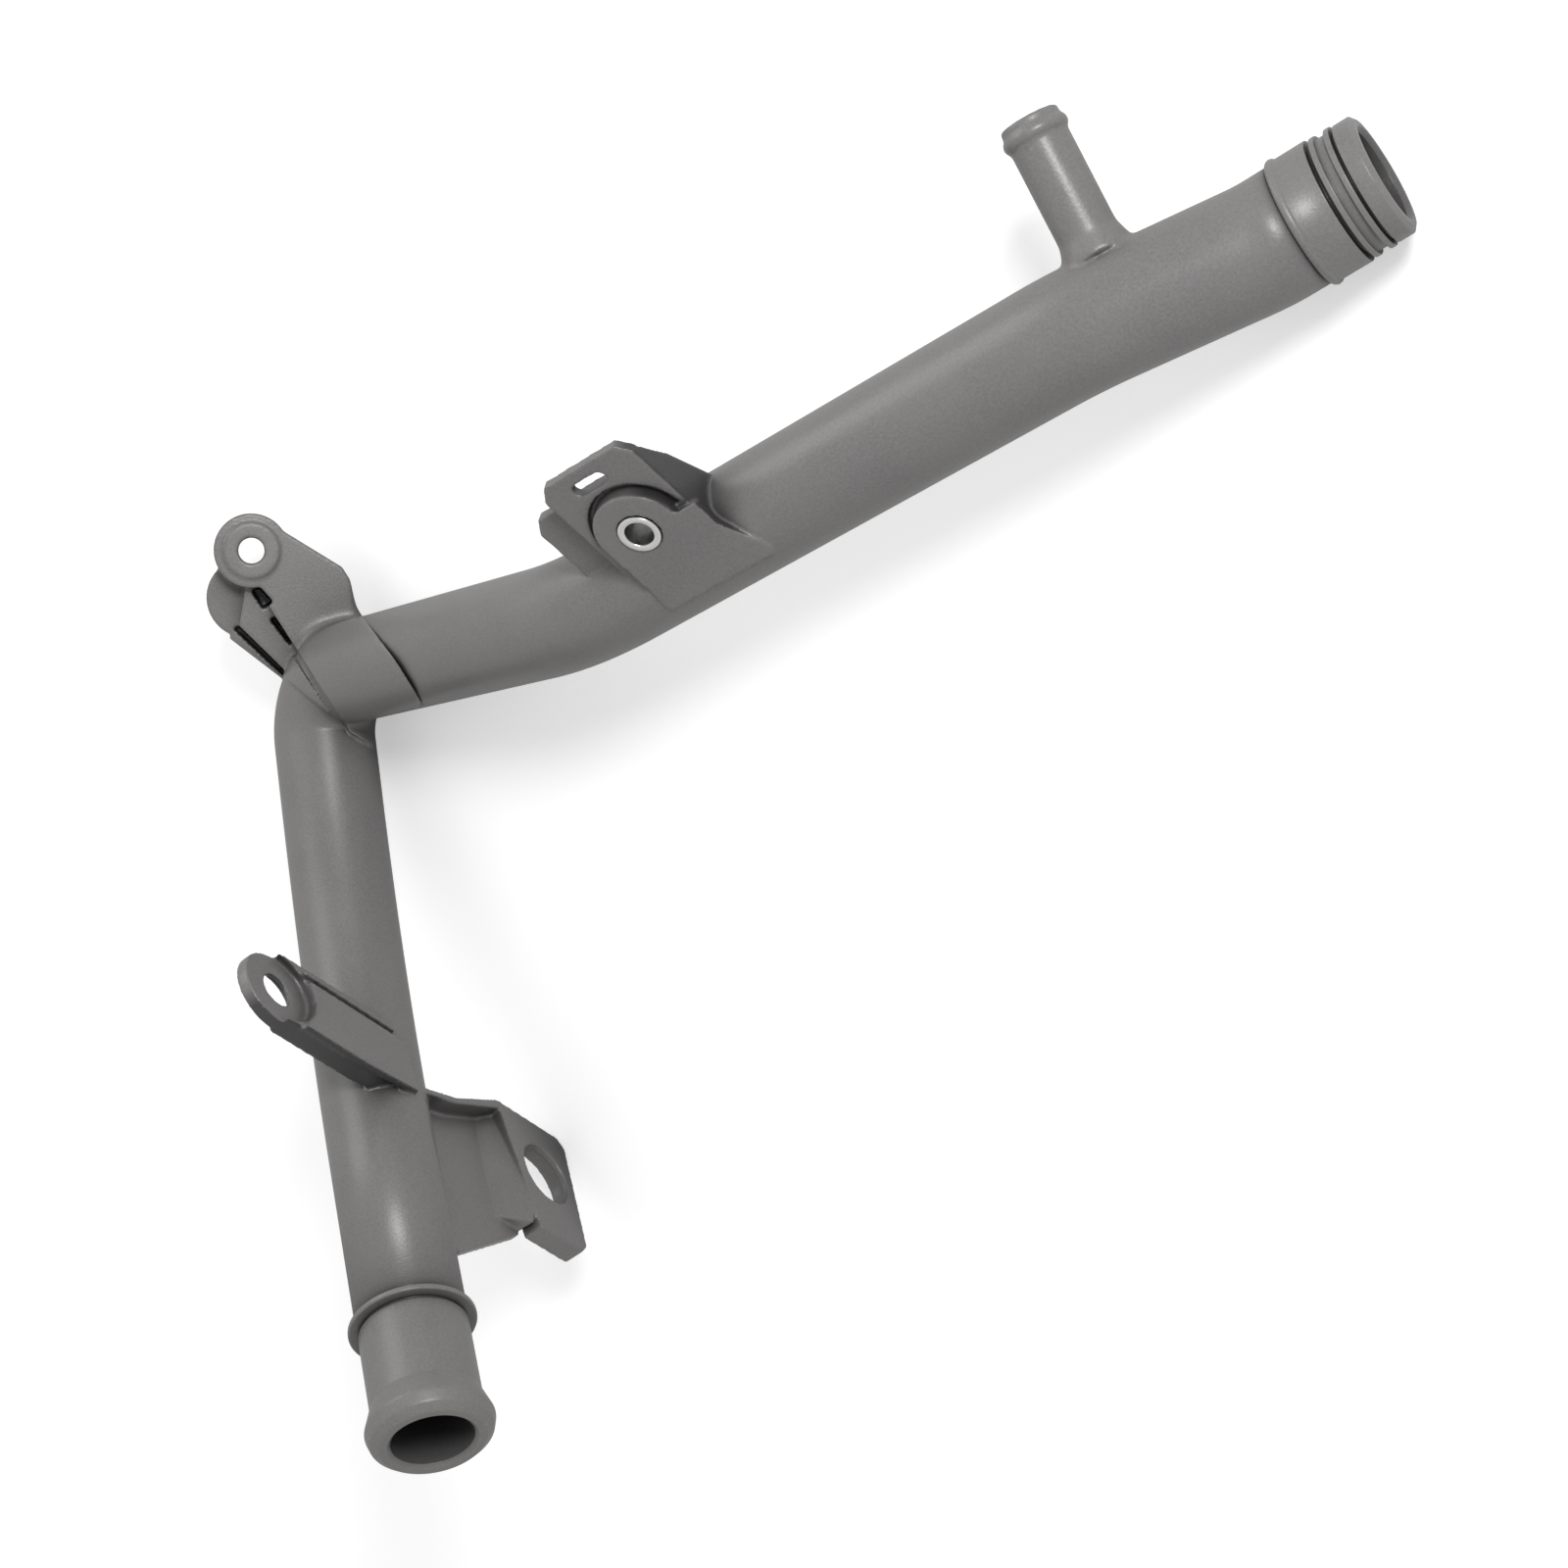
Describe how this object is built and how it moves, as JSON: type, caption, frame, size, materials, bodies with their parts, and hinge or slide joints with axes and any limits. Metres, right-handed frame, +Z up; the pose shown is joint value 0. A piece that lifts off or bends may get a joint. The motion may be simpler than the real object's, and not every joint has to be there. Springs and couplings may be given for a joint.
{
  "type": "coolant pipe",
  "caption": "Moulded engine coolant pipe: long bent tube with an O-ring spigot, a clamped hose end, a thin heater stub and bolted brackets.",
  "frame": {"origin": "on the floor under the middle of the pipe as it lies", "axes": "+Z up from the floor; +X along the long arm towards the O-ring spigot; the leg runs towards -Y"},
  "size_m": [0.4566, 0.3142, 0.1624],
  "materials": {
    "body": "dark grey glass-filled moulding with a soft sheen",
    "bush": "bright rolled metal bush"
  },
  "bodies": {
    "root": {"pipe_body": "body", "bush": "bush"}
  },
  "joints": []
}
